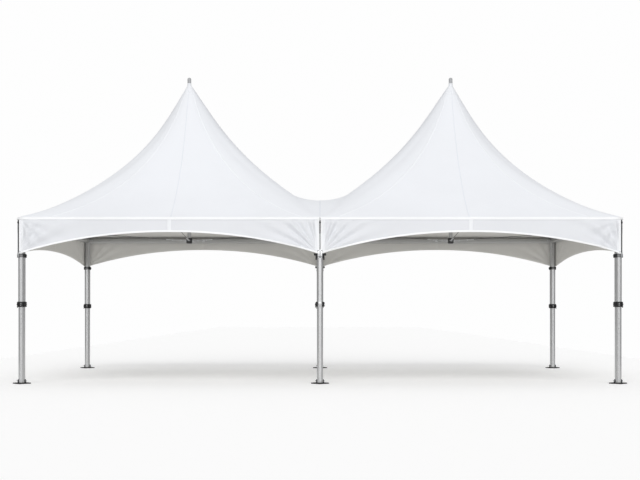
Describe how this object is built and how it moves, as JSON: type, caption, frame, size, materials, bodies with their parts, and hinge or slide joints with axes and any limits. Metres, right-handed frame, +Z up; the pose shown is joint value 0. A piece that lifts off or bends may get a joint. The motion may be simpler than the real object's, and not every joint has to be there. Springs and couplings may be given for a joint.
{
  "type": "high-peak frame marquee tent",
  "caption": "Open-sided event tent with pointed fabric peaks, an arched skirt and telescoping metal legs on foot plates.",
  "frame": {"origin": "on the ground, under the middle of the tent's plan", "axes": "+X along the length to the right as seen from the front, +Y to the back, +Z up"},
  "size_m": [9.4268, 4.8548, 5.2],
  "materials": {
    "base_plate": "dark satin coating on steel plate",
    "lower_leg": "satin anodised extrusion",
    "upper_leg": "satin anodised extrusion",
    "leg_collar": "black moulded clamp",
    "valance_tensioner": "zinc-plated rod and clamp band",
    "eave_beam": "satin anodised extrusion",
    "king_pole": "satin anodised round tube",
    "mast_hub": "black coated casting",
    "stay_cable": "zinc-plated cable and turnbuckle",
    "roof_fabric": "coated white polyester, smooth with a faint weave",
    "valance_fabric": "coated white polyester, smooth with a faint weave"
  },
  "bodies": {
    "tent_frame": {"leg_collar_front_left": "leg_collar", "upper_leg_front_left": "upper_leg", "valance_tensioner_front_left": "valance_tensioner", "leg_collar_front_middle": "leg_collar", "upper_leg_front_middle": "upper_leg", "valance_tensioner_front_middle": "valance_tensioner", "leg_collar_front_right": "leg_collar", "upper_leg_front_right": "upper_leg", "valance_tensioner_front_right": "valance_tensioner", "leg_collar_back_left": "leg_collar", "upper_leg_back_left": "upper_leg", "valance_tensioner_back_left": "valance_tensioner", "leg_collar_back_middle": "leg_collar", "upper_leg_back_middle": "upper_leg", "valance_tensioner_back_middle": "valance_tensioner", "leg_collar_back_right": "leg_collar", "upper_leg_back_right": "upper_leg", "valance_tensioner_back_right": "valance_tensioner", "eave_beam_front_left": "eave_beam", "eave_beam_front_right": "eave_beam", "eave_beam_back_left": "eave_beam", "eave_beam_back_right": "eave_beam", "eave_beam_left": "eave_beam", "eave_beam_middle": "eave_beam", "eave_beam_right": "eave_beam", "king_pole_left": "king_pole", "mast_hub_left": "mast_hub", "king_pole_right": "king_pole", "mast_hub_right": "mast_hub", "stay_left_left": "stay_cable", "stay_left_right": "stay_cable", "stay_left_front": "stay_cable", "stay_left_back": "stay_cable", "stay_right_left": "stay_cable", "stay_right_right": "stay_cable", "stay_right_front": "stay_cable", "stay_right_back": "stay_cable", "roof_canopy": "roof_fabric", "valance_front_left": "valance_fabric", "valance_front_right": "valance_fabric", "valance_back_left": "valance_fabric", "valance_back_right": "valance_fabric", "valance_left": "valance_fabric", "valance_right": "valance_fabric"},
    "leg_slide_front_left": {"lower_leg_front_left": "lower_leg", "base_plate_front_left": "base_plate"},
    "leg_slide_front_middle": {"lower_leg_front_middle": "lower_leg", "base_plate_front_middle": "base_plate"},
    "leg_slide_front_right": {"lower_leg_front_right": "lower_leg", "base_plate_front_right": "base_plate"},
    "leg_slide_back_left": {"lower_leg_back_left": "lower_leg", "base_plate_back_left": "base_plate"},
    "leg_slide_back_middle": {"lower_leg_back_middle": "lower_leg", "base_plate_back_middle": "base_plate"},
    "leg_slide_back_right": {"lower_leg_back_right": "lower_leg", "base_plate_back_right": "base_plate"}
  },
  "joints": [
    {"name": "leg_height_front_left", "type": "slide", "parent": "tent_frame", "child": "leg_slide_front_left", "axis": [0, 0, 1], "range_m": [0, 0.45]},
    {"name": "leg_height_front_middle", "type": "slide", "parent": "tent_frame", "child": "leg_slide_front_middle", "axis": [0, 0, 1], "range_m": [0, 0.45]},
    {"name": "leg_height_front_right", "type": "slide", "parent": "tent_frame", "child": "leg_slide_front_right", "axis": [0, 0, 1], "range_m": [0, 0.45]},
    {"name": "leg_height_back_left", "type": "slide", "parent": "tent_frame", "child": "leg_slide_back_left", "axis": [0, 0, 1], "range_m": [0, 0.45]},
    {"name": "leg_height_back_middle", "type": "slide", "parent": "tent_frame", "child": "leg_slide_back_middle", "axis": [0, 0, 1], "range_m": [0, 0.45]},
    {"name": "leg_height_back_right", "type": "slide", "parent": "tent_frame", "child": "leg_slide_back_right", "axis": [0, 0, 1], "range_m": [0, 0.45]}
  ]
}
